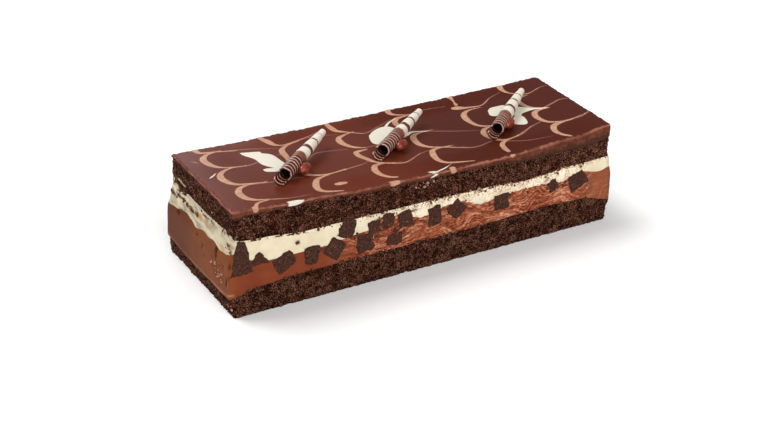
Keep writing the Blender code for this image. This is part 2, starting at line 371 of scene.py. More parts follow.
studio = {
    "place": (-0.5140, -0.8105, 0.5406),
    "turn": (61.08, -2.46, -30.84),
    "lens": 73.2,
    "sensor": 36,
    "floor": 6.0,
    "floorGap": 0.1,
    "floorTones": ((248, 248, 248), (250, 250, 250)),
    "sky": 0.30,
    "suns": {
        # where each stands, in degrees round and up, with its strength and softness
        "key": (128, 58, 1.9, 30),
        "front": (-98, 38, 1.9, 60),
    },
    "panel": {"round": 78, "up": 28, "away": 1.7, "size": (0.5, 0.5), "power": 2.8},
}


def buildStudio():
    rotation = [math.radians(angle) for angle in studio["turn"]]
    bpy.ops.object.camera_add(location=studio["place"], rotation=rotation)
    camera = bpy.context.object
    camera.name = "camera"
    camera.data.lens = studio["lens"]
    camera.data.sensor_width = studio["sensor"]
    bpy.context.scene.camera = camera
    for name, (turn, height, strength, spread) in studio["suns"].items():
        rotation = (math.radians(90 - height), 0, math.radians(turn + 90))
        bpy.ops.object.light_add(type="SUN", rotation=rotation)
        light = bpy.context.object
        light.name = name
        light.data.energy = strength
        light.data.angle = math.radians(spread)
    # a soft panel behind the left end, which the glaze there reflects
    panel = studio["panel"]
    turn, height = math.radians(panel["round"]), math.radians(panel["up"])
    flat = math.cos(height)
    place = Vector((math.cos(turn) * flat, math.sin(turn) * flat, math.sin(height)))
    rotation = (math.radians(90) - height, 0, turn + math.radians(90))
    bpy.ops.object.light_add(type="AREA", location=place * panel["away"], rotation=rotation)
    light = bpy.context.object
    light.name = "panel"
    light.data.shape = "RECTANGLE"
    light.data.size, light.data.size_y = panel["size"]
    light.data.energy = panel["power"]
    world = bpy.data.worlds.new("studio")
    bpy.context.scene.world = world
    world.use_nodes = True
    sky = world.node_tree.nodes["Background"].inputs
    sky["Color"].default_value = (1, 1, 1, 1)
    sky["Strength"].default_value = studio["sky"]
    bpy.context.scene.view_settings.view_transform = "Standard"
    nothingSelected()
    bpy.ops.mesh.primitive_plane_add(size=studio["floor"], location=(0, 0, -studio["floorGap"] * mm))
    floor = named("floor")
    paint = Paint("floor", 0.8, 0.0)
    low, high = studio["floorTones"]
    paint.colour(paint.mix(paint.noise(60, 1.0), tone(*low), tone(*high)))
    floor.data.materials.append(paint.material)


buildStudio()
print("studio ready")


def wall(name, rows):
    # a closed drum with fine sides, ready to be laid round the bar
    nothingSelected()
    bpy.ops.mesh.primitive_cylinder_add(vertices=bar["stepsAround"], radius=1, depth=1, end_fill_type="NGON")
    piece = named(name)
    splitUpright(piece, rows, 0.5)
    dishCaps(piece, bar["capInset"])
    return piece


def layWall(piece, floor, ceiling, overlapLow=0.0, overlapHigh=0.0, ragged=0.0):
    # lays the drum round the bar between two boundaries, and gives back its places, the way out from its
    # sides and how far up it each place is
    points = readPoints(piece)
    sides = bar["stepsAround"]
    step = np.round(np.arctan2(points[:, 1], points[:, 0]) / (2 * math.pi) * sides).astype(int) % sides
    u, v, nx, ny = (values[step] for values in walkAround(sides))
    fromAxis = np.hypot(points[:, 0], points[:, 1])
    onCap, centre = fromAxis < bar["onCap"], fromAxis < bar["capMiddle"]
    t = np.clip(points[:, 2] + 0.5, 0, 1)
    rim = np.stack([u * bar["halfLong"], v * bar["halfWide"], np.zeros(len(u))], 1)
    low = np.zeros(len(u)) if floor is None else onRim(floor, u, v) - overlapLow
    high = onRim(ceiling, u, v) + overlapHigh
    if ragged and floor is not None:
        low = low + ragged * (grain(rim, 2.6, 3.1) + 0.6 * grain(rim, 1.1, 8.3))
    if ragged:
        high = high + ragged * (grain(rim, 2.9, 5.7) + 0.6 * grain(rim, 1.2, 1.9))
    if floor is creamTop:
        # the upper sponge's lower edge is torn along the middle and right
        torn = smooth(-60, -20, rim[:, 0]) * smooth(136, 110, rim[:, 0])
        low = low + torn * (1.3 * grain(rim, 5.0, 6.1) + 0.8 * grain(rim, 2.0, 4.1) + 0.4)
    u, v = np.where(centre, 0, u), np.where(centre, 0, v)
    dish = bar["capDish"] * np.where(t > 0.5, -1, 1 if floor else 0)
    z = low + (high - low) * t
    z = np.where(centre, (onRim(floor, 0, 0) if floor else 0) * (1 - t) + onRim(ceiling, 0, 0) * t, z)
    z = z + dish * onCap
    laid = np.stack([u * endX(z), v * faceY(z), z], 1)
    laid[:, :2] *= np.where(onCap, 1 - bar["capInset"], 1.0)[:, None]
    out = np.stack([nx, ny, np.zeros(len(nx))], 1) * ~onCap[:, None]
    return laid, out, t


def pushOut(piece, laid, out, amount):
    # the relief of a layer's sides, none of it under the base
    moved = laid + out * amount[:, None]
    moved[:, 2] = np.maximum(moved[:, 2], 0.0)
    writePoints(piece, moved * mm)


def onEnds(laid):
    # 1 where a layer's side faces one of the ends
    start, full = bar["endStart"]
    return smooth(start, full, np.abs(laid[:, 0]) / endX(laid[:, 2]))


def spotShare(points, across, spots, edge, inner):
    # how strongly each point lies in a spot: place across, height, half sizes, strength
    share = np.zeros(len(points))
    for place, height, halfAcross, halfHigh, strength in spots:
        away = np.hypot((across - place) / halfAcross, (points[:, 2] - height) / halfHigh)
        share = np.maximum(share, strength * smooth(1.15, inner, away + edge))
    return share


def endSpots(points, spots):
    # the left end's spots, placed from its back
    edge = 0.35 * grain(points, 1.6, 3.0) + 0.15
    share = spotShare(points, bar["halfWide"] - points[:, 1], spots, edge, 0.55)
    return share * (points[:, 0] < -bar["topLength"] / 2 + bar["endDepth"])


def frontSpots(points, spots):
    # the front face's spots, placed from its left end
    edge = 0.45 * grain(points, 1.8, 5.0) + 0.15
    share = spotShare(points, points[:, 0] + bar["halfLong"], spots, edge, 0.5)
    return share * (points[:, 1] < bar["frontFrom"])


sponge = {
    # sizes of the crumb's reliefs, each with its depth
    "crag": (5.0, 0.55),
    "lump": (2.4, 0.50),
    "crumb": (1.15, 0.62),
    "hole": (3.1, 0.9),
    "baseRows": 38,
    "topRows": 34,
    "ragged": 0.55,
    "reliefRange": 1.8,
    # cream smeared on the upper sponge's left end: distance from its back, height, half sizes, strength
    "smears": (
        (15, 58.4, 8.5, 1.1, 1.0),
        (7, 51.6, 5.6, 2.6, 1.0),
        (4, 56.2, 1.8, 2.0, 0.8),
        (61, 58.5, 0.9, 0.9, 0.7),
    ),
}


def spongePaint(name, lighter):
    paint = Paint(name, 0.95, 0.03)
    # painted shade and light: the crumb goes dark where its relief sinks into pits and gaps, and light on its
    # raised tips
    relief = paint.values("relief")
    fine = paint.noise(0.75, 2.0)
    gapShade = paint.between(paint.cells(1.1), 0.34, 0.14, 0.0, 0.30)
    level = paint.sum("ADD", relief, paint.between(fine, 0.32, 0.68, -0.52, 0.52))
    level = paint.sum("SUBTRACT", level, gapShade)
    crumb = paint.ramp(
        level,
        (0.00, tone(14, 5, 2)),
        (0.34, tone(44, 21, 12)),
        (0.60, tone(72, 40, 28)),
        (0.98, tone(122, 84, 68)),
    )
    reddish = paint.between(paint.noise(7.0, 2.0), 0.52, 0.72, 0.0, 0.3)
    crumb = paint.mix(reddish, crumb, tone(74, 32, 18))
    crumb = paint.mix(1.0, crumb, (lighter, lighter, lighter, 1.0), "MULTIPLY")
    paint.colour(paint.cover(crumb, "smear", tone(206, 190, 164)))
    paint.bump(paint.noise(0.6, 3.0), 0.3)
    return paint.material


def buildSponge(name, node, rows, floor, ceiling, material, overlapLow, overlapHigh):
    piece = wall(name, rows)
    laid, out, _ = layWall(piece, floor, ceiling, overlapLow, overlapHigh, sponge["ragged"])
    cragSize, crag = sponge["crag"]
    lumpSize, lump = sponge["lump"]
    crumbSize, crumb = sponge["crumb"]
    holeSize, hole = sponge["hole"]
    relief = crag * grain(laid, cragSize, 2.0) + lump * grain(laid, lumpSize, 7.0)
    relief += crumb * (0.42 - pits(laid, crumbSize, 4.0))
    relief -= hole * smooth(0.42, 0.12, pits(laid, holeSize, 9.0)) * smooth(-0.3, 0.3, grain(laid, 8.0, 1.0))
    pushOut(piece, laid, out, relief)
    # the upper sponge's front grows lighter to the right
    lighter = (0.11 * smooth(20, bar["halfLong"], laid[:, 0]) - 0.05) * (laid[:, 1] < 0) * (floor is not None)
    # this relief value also sets the painted shade in the pits and the painted light on the tips
    level = np.clip(0.5 + relief / sponge["reliefRange"] + lighter, 0, 1)
    keepValues(piece, relief=level, smear=endSpots(laid, sponge["smears"]))
    finishPiece(piece, material, "sponge", node)
    print(name, "laid,", len(piece.data.polygons), "faces")


baseMaterial = spongePaint("sponge", 0.92)
buildSponge("baseSponge", "sponge_base", sponge["baseRows"], None, baseTop, baseMaterial, 0, 0.5)
topMaterial = spongePaint("spongeTop", 1.0)
buildSponge("topSponge", "sponge_top", sponge["topRows"], creamTop, glazeFloor, topMaterial, 0.2, 1.0)

mousse = {
    "rows": 38,
    "soft": (14.0, 0.3),
    "whipSize": (9.0, 9.0, 1.5),
    "whip": 0.5,
    "airSize": 1.6,
    "air": 0.35,
    "whipStart": (60.0, 104.0),
    "whipEnd": (262.0, 280.0),
    "pitDepth": 1.1,
    "ridgeHeight": 2.2,
    # small holes and notches in the left end, also painted dark as shade in them: distance from its back,
    # height, half sizes, depth
    "pits": (
        (46.7, 36.4, 1.5, 1.1, 0.8),
        (55, 33.0, 1.1, 2.2, 0.8),
        (53, 30, 0.8, 1.0, 0.6),
        (57, 26.3, 1.3, 1.2, 0.7),
        (73.5, 40.0, 2.4, 5.0, 1.0),
        (74.5, 35.6, 1.5, 2.8, 1.0),
        (17, 38.0, 3.6, 1.2, 0.8),
        (70, 31.0, 1.0, 0.8, 0.7),
        (76, 27.0, 1.1, 1.8, 0.7),
        (80, 23.0, 1.2, 1.4, 0.8),
        (90, 24, 1.4, 4.0, 0.9),
        (85, 33, 0.8, 1.6, 0.6),
        (93, 36, 1.3, 3.0, 0.8),
        (93, 28, 1.0, 2.4, 0.7),
    ),
    # painted shade between the chunks of the front face: from the left end, height, half sizes, strength
    "shades": (
        (63, 33, 3.0, 1.6, 0.6),
        (87, 37, 5.0, 2.4, 0.7),
        (103, 33, 4.0, 5.0, 0.7),
        (110, 37, 5.0, 3.0, 0.9),
        (117, 34, 4.0, 4.0, 0.9),
        (124, 30, 3.0, 3.0, 0.6),
        (131, 36, 3.0, 2.6, 0.8),
        (141, 34, 4.0, 2.0, 0.5),
        (255, 34.6, 6.0, 1.3, 0.8),
    ),
}


def mousseHere(points):
    # how whipped the mousse is: smooth at the ends, streaky along the faces from the first third on
    x = points[:, 0] + bar["halfLong"]
    amount = smooth(*mousse["whipStart"], x) * (1 - 0.75 * smooth(*mousse["whipEnd"], x))
    return amount * smooth(36, 42, np.abs(points[:, 1]))


def moussePaint():
    paint = Paint("mousse", 0.6, 0.1)
    # long fine lines that rise and fall a little, over shorter streaks
    drift = paint.between(paint.noise(26, 1.0), 0.3, 0.7, -6 * mm, 6 * mm)
    flowing = paint.stretched(0.07, 0.07, 1.0, paint.raised(drift))
    lines = paint.between(paint.noise(1.7, 1.0, flowing), 0.3, 0.7, 0.33, 0.67)
    streak = paint.noise(1.9, 2.5, paint.stretched(0.30, 0.30, 1.0), 1.6)
    ripple = paint.between(streak, 0.3, 0.7, -0.13, 0.13)
    fine = paint.noise(1.3, 2.0, paint.stretched(0.6, 0.6, 1.0))
    broad = paint.noise(16, 2.0)
    smoothTone = paint.blend(broad, (114, 51, 27), (130, 62, 35))
    smoothTone = paint.cover(smoothTone, "lighter", tone(142, 78, 50))
    whipped = paint.ramp(
        paint.sum("ADD", paint.sum("ADD", ripple, lines), paint.between(fine, 0.3, 0.7, -0.09, 0.09)),
        (0.28, tone(96, 40, 22)),
        (0.44, tone(142, 72, 45)),
        (0.60, tone(166, 96, 66)),
        (0.78, tone(206, 148, 118)),
    )
    body = paint.cover(smoothTone, "whip", whipped)
    endTone = paint.blend(broad, (116, 60, 28), (130, 70, 35))
    # painted shade: the end grows darker towards its back
    endTone = paint.cover(endTone, "deeper", tone(94, 44, 22))
    endTone = paint.cover(endTone, "ridge", tone(176, 118, 82))
    body = paint.cover(body, "end", endTone)
    # painted shade between the chunks of the front face
    body = paint.cover(body, "shade", tone(66, 24, 14))
    # painted shade in the left end's holes and notches
    paint.colour(paint.cover(body, "dark", tone(54, 22, 12)))
    paint.bump(streak, 0.25)
    return paint.material


def buildMousse(material):
    piece = wall("mousse", mousse["rows"])
    laid, out, _ = layWall(piece, baseTop, creamFloor, 0.7, 0.0)
    whip = mousseHere(laid)
    softSize, soft = mousse["soft"]
    relief = soft * grain(laid, softSize, 3.0)
    relief += whip * mousse["whip"] * grain(laid, mousse["whipSize"], 6.0)
    relief -= whip * mousse["air"] * smooth(0.45, 0.15, pits(laid, mousse["airSize"], 2.0))
    # the holes' dark colour is painted shade
    dark = endSpots(laid, mousse["pits"])
    relief -= mousse["pitDepth"] * dark
    pushOut(piece, laid, out, relief + 0.1)
    # a pale ridge along the lower edge of each end
    foot = onRim(baseTop, laid[:, 0] / endX(laid[:, 2]), laid[:, 1] / faceY(laid[:, 2]))
    fromRidge = laid[:, 2] - foot - mousse["ridgeHeight"] + 0.5 * grain(laid, (9.0, 9.0, 40.0), 4.0)
    ridge = 0.8 * smooth(1.3, 0.3, np.abs(fromRidge)) * smooth(-0.5, 0.1, grain(laid, 12.0, 8.0))
    keepValues(
        piece,
        whip=whip,
        end=onEnds(laid),
        dark=dark,
        shade=frontSpots(laid, mousse["shades"]),
        lighter=smooth(100, 130, laid[:, 0]),
        # painted shade towards the back of each end
        deeper=0.9 * smooth(-8, 24, laid[:, 1]),
        ridge=ridge,
    )
    finishPiece(piece, material, "mousse", "chocolate_mousse")


buildMousse(moussePaint())
print("mousse laid")

cream = {
    "rows": 24,
    "soft": (10.0, 0.35),
    "fold": ((14.0, 14.0, 3.0), 0.35),
    # on the left end: distance from its back, height, half sizes, strength
    "crumbs": (
        (5, 46.6, 7.0, 2.4, 1.0),
        (14, 48.2, 6.0, 1.7, 1.0),
        (21, 48.6, 5.0, 1.6, 1.0),
        (27, 47.6, 4.0, 2.2, 1.0),
        (34, 47.4, 5.0, 2.0, 1.0),
        (41, 48.1, 4.4, 2.2, 0.9),
        (52, 51.6, 6.0, 1.5, 0.9),
        (63, 52.0, 5.0, 1.4, 0.8),
        (87, 48.4, 3.4, 1.6, 0.9),
        (91.5, 45.0, 1.6, 3.0, 0.9),
    ),
    "stains": (
        (46, 48.6, 5.6, 2.0, 0.9),
        (56, 48.6, 7.0, 1.0, 0.5),
        (66, 47.6, 1.8, 3.0, 0.5),
        (80, 43.4, 4.6, 2.6, 0.6),
        (89, 48.4, 3.4, 2.0, 0.6),
    ),
    # dark crumbs and painted shade beside the chunks in the front face's cream: from the left end, height,
    # half sizes, strength
    "specks": (
        (45, 42.4, 2.4, 2.2, 1.0),
        (105, 44, 5.0, 2.2, 0.9),
        (118, 42, 3.0, 3.4, 0.9),
        (131, 44.5, 4.0, 1.8, 0.8),
        (156, 40.5, 2.0, 1.4, 0.6),
        (238, 42, 3.0, 2.0, 0.5),
    ),
}


def creamPaint():
    paint = Paint("cream", 0.55, 0.12)
    crumby = paint.values("crumby")
    fine = paint.noise(2.0, 3.0)
    body = paint.blend(paint.noise(12, 2.0), (219, 204, 172), (234, 222, 194))
    bright = paint.sum("MULTIPLY", crumby, paint.between(paint.noise(7.0, 1.5), 0.42, 0.58, 0.2, 1.0))
    body = paint.mix(paint.sum("MULTIPLY", bright, 1.1), body, tone(250, 239, 214))
    grainy = paint.noise(1.1, 2.0)
    tan = paint.mix(paint.between(grainy, 0.45, 0.66), tone(204, 166, 124), tone(164, 112, 74))
    patchy = paint.between(paint.noise(5.0, 2.0), 0.40, 0.58, 0.25, 1.0)
    share = paint.sum("MULTIPLY", paint.sum("MULTIPLY", crumby, patchy), paint.between(grainy, 0.40, 0.56))
    body = paint.mix(share, body, tan)
    torn = paint.sum("MULTIPLY", paint.values("torn"), paint.between(grainy, 0.50, 0.60))
    body = paint.mix(torn, body, paint.ramp(fine, (0.4, tone(84, 46, 30)), (0.6, tone(150, 98, 66))))
    # painted shade: the left end's cream is darker and shaded grey-green in its folds
    foldShade = paint.noise(6.0, 1.0, paint.stretched(1.0, 0.5, 1.2), 0.8)
    shadedEndTones = ((0.32, tone(158, 144, 118)), (0.46, tone(194, 180, 152)), (0.66, tone(214, 200, 172)))
    body = paint.cover(body, "end", paint.ramp(foldShade, *shadedEndTones))
    body = paint.cover(body, "stain", tone(188, 138, 78))
    # dark crumbs, with painted shade beside the front face's chunks
    paint.colour(paint.cover(body, "dark", tone(70, 34, 20)))
    paint.bump(fine, 0.2)
    return paint.material


def buildCream(material):
    piece = wall("cream", cream["rows"])
    laid, out, t = layWall(piece, creamFloor, creamTop, 0.0, 1.1)
    softSize, soft = cream["soft"]
    foldSize, fold = cream["fold"]
    above = smooth(0.0, 0.25, t)
    relief = soft * grain(laid, softSize, 5.0) + fold * grain(laid, foldSize, 1.0)
    relief = relief * above + 0.3 * grain(laid, 14.0, 3.0) * (1 - above)
    # the cream is lumpy and full of crumbs from the middle to the right, and along its upper edge
    x = laid[:, 0] + bar["halfLong"]
    crumby = smooth(95, 150, x) * smooth(284, 262, x) * (0.55 + 0.45 * smooth(0.35, 0.9, t))
    crumby = np.maximum(crumby, 0.5 * smooth(0.8, 0.97, t))
    relief += 0.5 * crumby * grain(laid, (3.0, 3.0, 2.0), 7.0) + 0.35 * crumby * grain(laid, 1.3, 2.0)
    dark = endSpots(laid, cream["crumbs"])
    pushOut(piece, laid, out, relief + 0.1 + 0.3 * dark)
    torn = smooth(88, 110, x) * smooth(286, 276, x) * (0.8 - 0.45 * smooth(190, 240, x))
    torn = torn * smooth(0.62, 0.86, t)
    keepValues(
        piece,
        crumby=crumby,
        torn=torn,
        end=onEnds(laid),
        stain=endSpots(laid, cream["stains"]),
        # dark crumbs on the left end; dark crumbs and painted shade beside the chunks on the front
        dark=np.maximum(dark, frontSpots(laid, cream["specks"])),
    )
    finishPiece(piece, material, "cream", "cream_layer")


buildCream(creamPaint())
print("cream laid")

# Strokes lie on the flat sheet: x from the left end, y from the front rim, half width; all in mm
caramelStrokes = (
    ((15, 94, 2.2), (17, 88, 1.4), (25, 86, 0.8), (40, 81, 0.4)),
    (
        (30, 86, 0.4), (20, 84, 1.2), (14.5, 78, 2.3), (15, 70, 2.2), (18, 64, 1.4), (24, 60, 0.7),
        (36, 57, 0.3),
    ),
    (
        (36, 58, 0.3), (24, 58, 0.8), (16.5, 54, 1.7), (14, 48, 2.3), (15, 41, 2.1), (19, 35, 1.3),
        (27, 32, 0.7), (38, 29, 0.3),
    ),
    (
        (38, 30, 0.3), (26, 31, 0.8), (18.5, 29, 1.6), (15, 23, 2.3), (16, 15, 2.1), (20, 10, 1.2),
        (27, 7, 0.6), (40, 2, 0.3),
    ),
    ((28, 6, 0.5), (20, 5, 1.0), (16, 0, 1.5), (14, -4, 1.8)),
    ((62, 92, 1.6), (64.5, 84, 2.4), (66.5, 78, 1.4), (73, 75, 0.7), (90, 79, 0.3)),
    ((84, 76, 0.3), (75, 74, 0.7), (68.5, 70, 1.6), (66, 64, 2.2), (65, 54, 1.8), (63, 44, 1.4)),
    ((61, 40, 1.4), (62, 33, 1.7), (66, 26.5, 1.5), (76, 21.5, 0.8), (92, 22, 0.4), (106, 24, 0.2)),
    (
        (92, 23, 0.3), (76, 20, 0.7), (68.5, 17.5, 1.7), (64, 11, 2.3), (62.5, 4, 2.0),
        (66, -1, 1.2), (76, -5, 0.6),
    ),
    ((76.5, 5.5, 1.6), (79, 5.2, 2.1), (82.5, 4.6, 1.4)),
    ((113, 93, 1.2), (113, 85, 2.2), (114.5, 78.5, 1.7), (120, 74, 0.8), (129, 67, 0.4)),
    (
        (125, 73, 0.3), (117, 71, 0.9), (110.5, 68, 1.8), (108.5, 62, 2.3), (110, 55, 1.8),
        (113, 50, 1.2), (119, 46, 0.6),
    ),
    (
        (119, 43, 0.6), (111, 42.5, 1.7), (109.5, 37.5, 2.0), (111.5, 31, 1.8), (114, 24, 1.4),
        (119, 19, 0.8), (132, 13, 0.4), (148, 20, 0.2),
    ),
    (
        (132, 14, 0.3), (118, 18.5, 0.8), (111.5, 17.5, 1.8), (108.5, 11, 2.2), (109, 4, 1.8),
        (113, -2, 1.2), (117, -4, 0.8),
    ),
    ((163, 94, 2.4), (161.5, 87, 1.7), (167, 82, 0.8), (178, 79, 0.4)),
    ((178, 80, 0.3), (169, 79, 0.8), (161.5, 77.5, 1.8), (157.5, 72, 2.2), (157, 64, 1.7)),
    (
        (176, 50, 0.3), (167, 50, 0.8), (160, 48.5, 1.7), (156, 43, 2.3), (155, 34, 2.1),
        (158.5, 27, 1.4), (166, 22.5, 0.7), (186, 12, 0.3),
    ),
    (
        (176, 21, 0.3), (166, 22, 0.8), (158.5, 20.5, 1.7), (155, 14, 2.3), (154, 6, 1.9),
        (157, 0, 1.3), (163, -3, 1.0), (176, -7, 0.5),
    ),
    ((214, 95, 3.2), (214, 90, 1.6), (213, 84, 0.6), (212, 79, 1.4)),
    ((207.5, 74.5, 2.0), (211, 73.5, 2.8), (216, 71.5, 1.4), (228, 70, 0.5), (240, 78, 0.2)),
    (
        (226, 67, 0.3), (217, 67, 0.8), (210, 64, 1.8), (206.5, 57, 2.4), (206, 48, 1.9),
        (209, 40, 1.3), (217, 36, 0.6),
    ),
    (
        (222, 36, 0.3), (214, 35.5, 0.8), (207.5, 33, 1.8), (204, 26, 2.1), (206, 17, 1.6),
        (213, 12, 0.8), (226, 15, 0.4), (241, 23, 0.2),
    ),
    ((224, 13, 0.3), (213, 11, 0.8), (207, 7.5, 1.7), (205, 1, 2.0), (205, -5, 1.4)),
    ((258, 94, 2.6), (256, 87, 2.0), (257, 81, 1.2), (261, 76.5, 0.7), (270, 72, 0.3), (283, 77, 0.2)),
    ((268, 70, 0.3), (259, 68, 1.0), (255.5, 62, 2.0), (256, 54, 1.7), (259.5, 48.5, 1.1), (267, 45, 0.6)),
    (
        (270, 44, 0.5), (261, 43.5, 1.2), (255, 40.5, 2.1), (252.5, 33, 2.3), (254.5, 25, 1.6),
        (261, 20.5, 0.9), (272, 19.5, 0.5), (290, 24, 0.3),
    ),
    ((274, 19, 0.4), (264, 18.5, 1.1), (255.5, 16, 2.2), (251.5, 9, 2.2), (252.5, 2, 1.6), (257, -4, 1.0)),
)
wispStrokes = (
    ((25, 86, 0.5), (40, 82, 0.6), (52, 78, 0.5), (66, 72, 0.3)),
    ((24, 60, 0.6), (36, 57, 0.7), (50, 60, 0.5), (64, 63, 0.3)),
    ((6, 79, 0.3), (8, 77, 0.7), (9.5, 74, 0.3)),
    ((26, 31, 0.6), (40, 28, 0.6), (56, 26, 0.4), (62, 24, 0.3)),
    ((27, 7, 0.6), (40, 2, 0.5), (56, 0, 0.3)),
    ((72, 75, 0.6), (90, 79, 0.7), (104, 84, 0.4)),
    ((75, 74, 0.5), (92, 78, 0.5), (112, 74, 0.3)),
    ((76, 46, 0.3), (84, 53, 0.6), (94, 53, 0.6), (108, 49, 0.3)),
    ((76, 21, 0.6), (92, 22.5, 0.6), (106, 24, 0.4), (112, 27, 0.2)),
    ((120, 74, 0.6), (130, 67, 0.6), (141, 71, 0.5), (158, 79, 0.3)),
    ((119, 46, 0.5), (128, 45, 0.5), (140, 40, 0.3)),
    ((119, 19, 0.6), (132, 13, 0.6), (148, 20, 0.5), (160, 22, 0.3)),
    ((160, 55, 0.6), (176, 47, 0.6), (190, 40, 0.5), (204, 34, 0.3)),
    ((166, 22.5, 0.5), (186, 12, 0.6), (203, 15, 0.4)),
    ((170, 79, 0.5), (186, 82, 0.5), (204, 80, 0.3)),
    ((216, 71, 0.6), (228, 70, 0.6), (240, 78, 0.5), (252, 83, 0.3)),
    ((217, 36, 0.5), (230, 36, 0.4), (246, 44, 0.2)),
    ((213, 12, 0.6), (226, 14, 0.6), (240, 22, 0.6), (253, 27, 0.4)),
    ((212, 10, 0.5), (226, 4, 0.5), (246, 2, 0.3)),
    ((262, 75, 0.6), (270, 72, 0.6), (283, 77, 0.5), (290, 78, 0.3)),
    ((265, 45, 0.8), (276, 49, 0.8), (284, 52, 0.7), (291, 51, 0.4)),
    ((266, 20, 0.6), (280, 20, 0.7), (291, 25, 0.5)),
)
creamStrokes = (
    ((7, 50.5, 0.2), (10, 52.6, 0.6), (13.5, 55.4, 0.3)),
    ((147, 68, 1.2), (153, 74, 0.8), (161, 78.5, 0.4)),
    ((150, 49, 1.6), (155, 51, 1.6), (161, 53, 1.0), (171, 49.5, 0.5)),
    ((250, 51, 2.2), (257, 48, 1.4), (262, 45.5, 0.9), (268, 44.5, 0.6)),
    ((141, -10.5, 0.3), (147, -9.2, 0.7), (154, -6.6, 0.5), (161, -2.6, 0.1)),
)
creamSpots = (
    (
        (40, 77), (46, 75), (53, 72.5), (53, 70), (58, 65), (59.5, 55), (60, 44), (55, 43),
        (50, 47), (46, 54), (45, 64), (41, 72),
    ),
    ((43, 46.8), (47, 47), (56, 43), (56, 38), (50, 40), (44, 43)),
    (
        (131, 62), (137, 67), (144, 70), (150, 69), (153, 62), (150, 55), (140, 48.5), (131, 45.5),
        (127.5, 49), (128.5, 56),
    ),
    ((227, 59), (231, 62.5), (236, 63), (243, 62), (242, 54), (236, 50), (228, 48.5), (224.5, 52)),
    ((239, 46), (243, 54), (249, 56), (256, 50.5), (260, 46.5), (253, 45.5), (247, 44), (242, 40)),
    ((230, 33), (237, 41), (243, 43), (244.5, 39), (243, 32), (240, 27.5), (235, 28.5)),
)
glaze = {
    "columns": 516,
    "rows": 158,
    "rings": 10,
    "edge": 0.8,
    "lip": 0.4,
    "tuck": 1.6,
    "wave": (24.0, 0.18),
    "wander": 0.6,
    "marbleLift": 0.12,
    "rimLumps": 0.45,
    "soft": 0.9,
    "corner": 0.9,
    "capInset": 0.03,
    "farOff": -3.0,
    # the flat sheet of the strokes against the sagging top: how far it moves and narrows for each mm of sag
    "sheet": {"length": 290, "right": 0.85, "front": 44.4, "back": 1.72, "depth": 0.937, "narrower": 0.0042},
    "drips": (
        # x, z, half sizes, how far it slants, and which marbling it belongs to
        (16.5, 72.0, 1.9, 2.0, 0.0, "caramel"),
        (45, 70.2, 6.0, 1.4, 0.10, "white"),
        (117, 67.0, 4.0, 1.0, 0.10, "caramel"),
        (146.5, 65.6, 2.8, 0.8, 0.20, "white"),
        (161.5, 65.8, 2.2, 1.3, 0.0, "caramel"),
        (209.5, 66.8, 2.0, 0.8, 0.1, "caramel"),
    ),
}


def throughPoints(stroke, step=0.5):
    # a smooth curve through a stroke's points, with its half width
    points = np.array(stroke, float)
    padded = np.vstack([2 * points[0] - points[1], points, 2 * points[-1] - points[-2]])
    made = []
    for a, b, c, d in zip(padded, padded[1:], padded[2:], padded[3:]):
        count = max(2, int(np.hypot(*(c - b)[:2]) / step))
        for t in np.arange(count) / count:
            bend, twist = 2 * a - 5 * b + 4 * c - d, 3 * b - a - 3 * c + d
            made.append(0.5 * (2 * b + (c - a) * t + bend * t**2 + twist * t**3))
    made.append(points[-1])
    return np.array(made)


def nearBox(places, low, high):
    # which places lie inside a box
    return np.nonzero(np.all((places > low) & (places < high), axis=1))[0]


def strokeField(places, strokes):
    # how far inside the nearest stroke each place is, in mm
    field = np.full(len(places), glaze["farOff"])
    for stroke in strokes:
        path = throughPoints(stroke)
        margin = path[:, 2].max() + 2
        near = nearBox(places, path[:, :2].min(0) - margin, path[:, :2].max(0) + margin)
        gap = places[near][:, None, :] - path[None, :, :2]
        inside = (path[None, :, 2] - np.hypot(gap[..., 0], gap[..., 1])).max(1)
        field[near] = np.maximum(field[near], inside)
    return field


def spotField(places, spots):
    # the same for filled outlines
    field = np.full(len(places), glaze["farOff"])
    for spot in spots:
        outline = throughPoints([(x, y, 0) for x, y in (*spot, spot[0])], 1.0)[:, :2]
        near = nearBox(places, outline.min(0) - 3, outline.max(0) + 3)
        p = places[near]
        distance = np.full(len(p), 99.0)
        inside = np.zeros(len(p), bool)
        for a, b in zip(outline, np.roll(outline, -1, axis=0)):
            edge = b - a
            if np.hypot(*edge) < 1e-9:
                continue
            t = np.clip(((p - a) @ edge) / (edge @ edge), 0, 1)
            distance = np.minimum(distance, np.hypot(*(p - a - t[:, None] * edge).T))
            crosses = (a[1] > p[:, 1]) != (b[1] > p[:, 1])
            rise = np.where(np.abs(edge[1]) < 1e-9, 1e-9, edge[1])
            inside ^= crosses & (p[:, 0] < a[0] + (p[:, 1] - a[1]) / rise * edge[0])
        field[near] = np.maximum(field[near], np.where(inside, distance, -distance))
    return field


def onSheet(x, y, z):
    # where a place on the sagging top lies on the flat sheet that the strokes are drawn on
    sheet = glaze["sheet"]
    sag = bar["height"] - z
    sheetX = (x - sheet["right"] * sag) / sheet["length"] * bar["length"] + bar["halfLong"]
    sheetY = (y + sheet["front"] - sheet["back"] * sag) / (sheet["depth"] - sheet["narrower"] * sag)
    return np.stack([sheetX, sheetY], 1)


